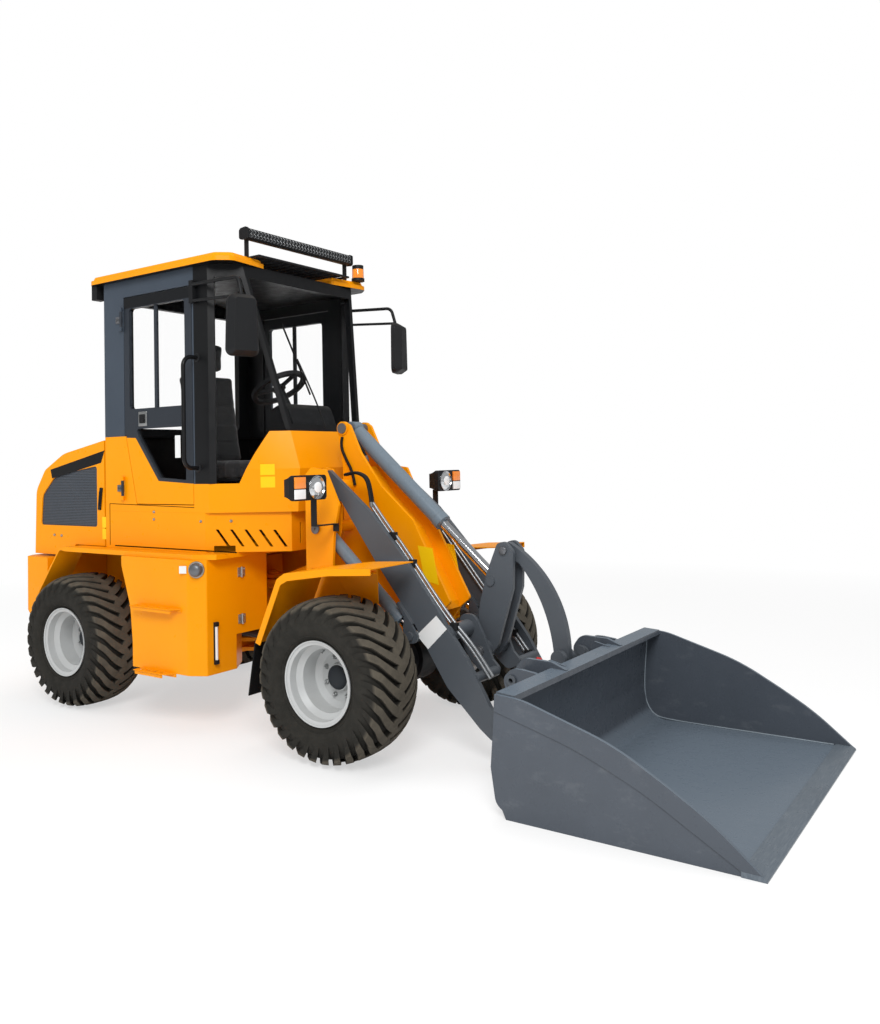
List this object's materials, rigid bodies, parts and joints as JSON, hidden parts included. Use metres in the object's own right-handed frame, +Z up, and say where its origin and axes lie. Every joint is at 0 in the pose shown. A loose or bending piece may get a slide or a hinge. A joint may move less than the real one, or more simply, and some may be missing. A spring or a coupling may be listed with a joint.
{
  "type": "wheel loader",
  "caption": "Compact articulated wheel loader: cab on the rear frame, front frame with lift arms, tilt linkage and a wide bucket on a quick hitch.",
  "frame": {"origin": "middle of the machine's length and width, on the ground", "axes": "+X forwards, from the counterweight to the bucket edge; +Y to the machine's left; +Z up"},
  "size_m": [5.186, 1.836, 3.0474],
  "materials": {
    "body_orange": "satin orange-yellow paint",
    "frame_grey": "blue-grey frame paint",
    "arm_grey": "blue-grey paint on the arms and bucket",
    "edge_steel": "worn steel of the cutting edge",
    "black_paint": "satin black",
    "black_plastic": "black moulded plastic",
    "rim_silver": "silver wheel paint",
    "tyre": "black tyre rubber",
    "rubber": "black rubber sheet",
    "chrome": "hard chrome rod",
    "steel": "bare steel",
    "glass": "tinted cab glass",
    "lamp": "clear lamp lens",
    "cast": "plain engine block",
    "seat_fabric": "black seat cover"
  },
  "bodies": {
    "rear_machine": {"rear_chassis": "body_orange", "platform": "body_orange", "side_tanks": "body_orange", "boarding_steps": "body_orange", "counterweight": "body_orange", "tow_hitch": "steel", "rear_axle": "black_paint", "engine_block": "cast", "cab_frame": "frame_grey", "cab_body": "body_orange", "skirt_panels": "body_orange", "cab_roof": "body_orange", "roof_guard": "black_paint", "cab_glass": "glass", "seat": "seat_fabric", "console": "black_plastic", "steering_wheel": "black_plastic", "roof_lamps": "lamp", "mirrors": "black_plastic", "grab_handles": "frame_grey"},
    "hood": {"hood": "body_orange", "hood_grilles": "black_paint"},
    "door_right": {"door_right": "frame_grey", "door_right_skin": "body_orange", "door_right_glass": "glass"},
    "door_left": {"door_left": "frame_grey", "door_left_skin": "body_orange", "door_left_glass": "glass"},
    "front": {"front_frame": "body_orange", "front_fenders": "body_orange", "mudflaps": "rubber", "headlights": "lamp", "front_axle": "black_paint"},
    "wheel_front_right": {"tyre_front_right": "tyre", "rim_front_right": "rim_silver"},
    "wheel_front_left": {"tyre_front_left": "tyre", "rim_front_left": "rim_silver"},
    "wheel_rear_right": {"tyre_rear_right": "tyre", "rim_rear_right": "rim_silver"},
    "wheel_rear_left": {"tyre_rear_left": "tyre", "rim_rear_left": "rim_silver"},
    "boom": {"boom": "arm_grey"},
    "bucket_pins": {"bucket_pins": "steel"},
    "bucket": {"bucket": "arm_grey", "cutting_edge": "edge_steel", "quick_hitch": "arm_grey"},
    "link_pin": {"link_pin": "steel"},
    "tilt_pin": {"tilt_pin": "steel"},
    "tilt_link": {"tilt_link": "arm_grey"},
    "lever_pin": {"lever_pin": "steel"},
    "tilt_lever": {"tilt_lever": "arm_grey"},
    "tilt_barrel": {"tilt_barrel": "arm_grey"},
    "tilt_rod": {"tilt_rod": "chrome"},
    "lift_barrels": {"lift_barrels": "arm_grey"},
    "lift_rods": {"lift_rods": "chrome"},
    "steering_barrel_right": {"steering_barrel_right": "arm_grey"},
    "steering_barrel_left": {"steering_barrel_left": "arm_grey"},
    "steering_rod_right": {"steering_rod_right": "chrome"},
    "steering_rod_left": {"steering_rod_left": "chrome"}
  },
  "joints": [
    {"name": "steering", "type": "hinge", "parent": "rear_machine", "child": "front", "pos_m": [-0.772, 0, 0.56], "axis": [0, 0, 1], "range_deg": [-30, 30]},
    {"name": "hood_open", "type": "hinge", "parent": "rear_machine", "child": "hood", "pos_m": [-1.675, 0, 1.786], "axis": [0, 1, 0], "range_deg": [0, 50]},
    {"name": "door_right_open", "type": "hinge", "parent": "rear_machine", "child": "door_right", "pos_m": [-1.459, -0.686, 1.9], "axis": [0, 0, 1], "range_deg": [-85, 0]},
    {"name": "door_left_open", "type": "hinge", "parent": "rear_machine", "child": "door_left", "pos_m": [-1.459, 0.686, 1.9], "axis": [0, 0, 1], "range_deg": [0, 85]},
    {"name": "wheel_front_right_spin", "type": "hinge", "parent": "front", "child": "wheel_front_right", "pos_m": [0.337, -0.68, 0.437], "axis": [0, 1, 0], "continuous": true},
    {"name": "wheel_front_left_spin", "type": "hinge", "parent": "front", "child": "wheel_front_left", "pos_m": [0.337, 0.68, 0.437], "axis": [0, 1, 0], "continuous": true},
    {"name": "wheel_rear_right_spin", "type": "hinge", "parent": "rear_machine", "child": "wheel_rear_right", "pos_m": [-1.881, -0.68, 0.437], "axis": [0, 1, 0], "continuous": true},
    {"name": "wheel_rear_left_spin", "type": "hinge", "parent": "rear_machine", "child": "wheel_rear_left", "pos_m": [-1.881, 0.68, 0.437], "axis": [0, 1, 0], "continuous": true},
    {"name": "boom_lift", "type": "hinge", "parent": "front", "child": "boom", "pos_m": [-0.023, 0, 1.44], "axis": [0, -1, 0], "range_deg": [0, 85]},
    {"name": "bucket_pin_turn", "type": "hinge", "parent": "boom", "child": "bucket_pins", "pos_m": [1.167, 0, 0.195], "axis": [0, 1, 0], "range_deg": [-1, 95.31]},
    {"name": "bucket_tilt", "type": "hinge", "parent": "bucket_pins", "child": "bucket", "pos_m": [1.167, 0, 0.195], "axis": [0, 1, 0], "range_deg": [-38, 30]},
    {"name": "lever_pin_turn", "type": "hinge", "parent": "boom", "child": "lever_pin", "pos_m": [0.897, 0, 0.54], "axis": [0, 1, 0], "range_deg": [-1, 70.47]},
    {"name": "tilt_lever_turn", "type": "hinge", "parent": "lever_pin", "child": "tilt_lever", "pos_m": [0.897, 0, 0.54], "axis": [0, 1, 0], "range_deg": [-25.43, 20.29]},
    {"name": "link_pin_turn", "type": "hinge", "parent": "tilt_lever", "child": "link_pin", "pos_m": [1.027, 0, 1.088], "axis": [0, -1, 0], "range_deg": [-1, 38.95]},
    {"name": "tilt_link_turn", "type": "hinge", "parent": "link_pin", "child": "tilt_link", "pos_m": [1.027, 0, 1.088], "axis": [0, -1, 0], "range_deg": [-22.77, 18.19]},
    {"name": "tilt_pin_turn", "type": "hinge", "parent": "front", "child": "tilt_pin", "pos_m": [-0.058, 0, 1.8], "axis": [0, -1, 0], "range_deg": [-1, 82.17]},
    {"name": "tilt_barrel_turn", "type": "hinge", "parent": "tilt_pin", "child": "tilt_barrel", "pos_m": [-0.058, 0, 1.8], "axis": [0, -1, 0], "range_deg": [-2.69, 2.17]},
    {"name": "tilt_rod_slide", "type": "slide", "parent": "tilt_barrel", "child": "tilt_rod", "axis": [0.7489, 0, -0.6627], "range_m": [-0.09353, 0.07426]},
    {"name": "lift_barrels_turn", "type": "hinge", "parent": "front", "child": "lift_barrels", "pos_m": [-0.023, 0, 1.205], "axis": [0, -1, 0], "range_deg": [-1, 85.9]},
    {"name": "lift_rods_slide", "type": "slide", "parent": "lift_barrels", "child": "lift_rods", "axis": [0.7414, 0, -0.671], "range_m": [-0.002, 0.31952]},
    {"name": "steering_barrel_right_turn", "type": "hinge", "parent": "rear_machine", "child": "steering_barrel_right", "pos_m": [-1.163, -0.13, 0.48], "axis": [0, 0, 1], "range_deg": [-15.41, 15.41]},
    {"name": "steering_rod_right_slide", "type": "slide", "parent": "steering_barrel_right", "child": "steering_rod_right", "axis": [0.9989, -0.0472, 0], "range_m": [-0.07878, 0.07878]},
    {"name": "steering_barrel_left_turn", "type": "hinge", "parent": "rear_machine", "child": "steering_barrel_left", "pos_m": [-1.163, 0.13, 0.48], "axis": [0, 0, 1], "range_deg": [-15.41, 15.41]},
    {"name": "steering_rod_left_slide", "type": "slide", "parent": "steering_barrel_left", "child": "steering_rod_left", "axis": [0.9989, 0.0472, 0], "range_m": [-0.07878, 0.07878]}
  ],
  "couplings": [
    {"joint": "bucket_pin_turn", "follows": "boom_lift", "ratio": 1.1095},
    {"joint": "lever_pin_turn", "follows": "boom_lift", "ratio": 0.8173},
    {"joint": "tilt_lever_turn", "follows": "bucket_tilt", "ratio": 0.643},
    {"joint": "link_pin_turn", "follows": "boom_lift", "ratio": 0.4465},
    {"joint": "tilt_link_turn", "follows": "bucket_tilt", "ratio": 0.573},
    {"joint": "tilt_pin_turn", "follows": "boom_lift", "ratio": 0.955},
    {"joint": "tilt_barrel_turn", "follows": "bucket_tilt", "ratio": 0.0655},
    {"joint": "tilt_rod_slide", "follows": "bucket_tilt", "m_per_rad": 0.138},
    {"joint": "lift_barrels_turn", "follows": "boom_lift", "ratio": 0.99887},
    {"joint": "lift_rods_slide", "follows": "boom_lift", "m_per_rad": 0.21403},
    {"joint": "steering_barrel_right_turn", "follows": "steering", "ratio": 0.48042},
    {"joint": "steering_rod_right_slide", "follows": "steering", "m_per_rad": 0.14663},
    {"joint": "steering_barrel_left_turn", "follows": "steering", "ratio": 0.48042},
    {"joint": "steering_rod_left_slide", "follows": "steering", "m_per_rad": -0.14663}
  ]
}
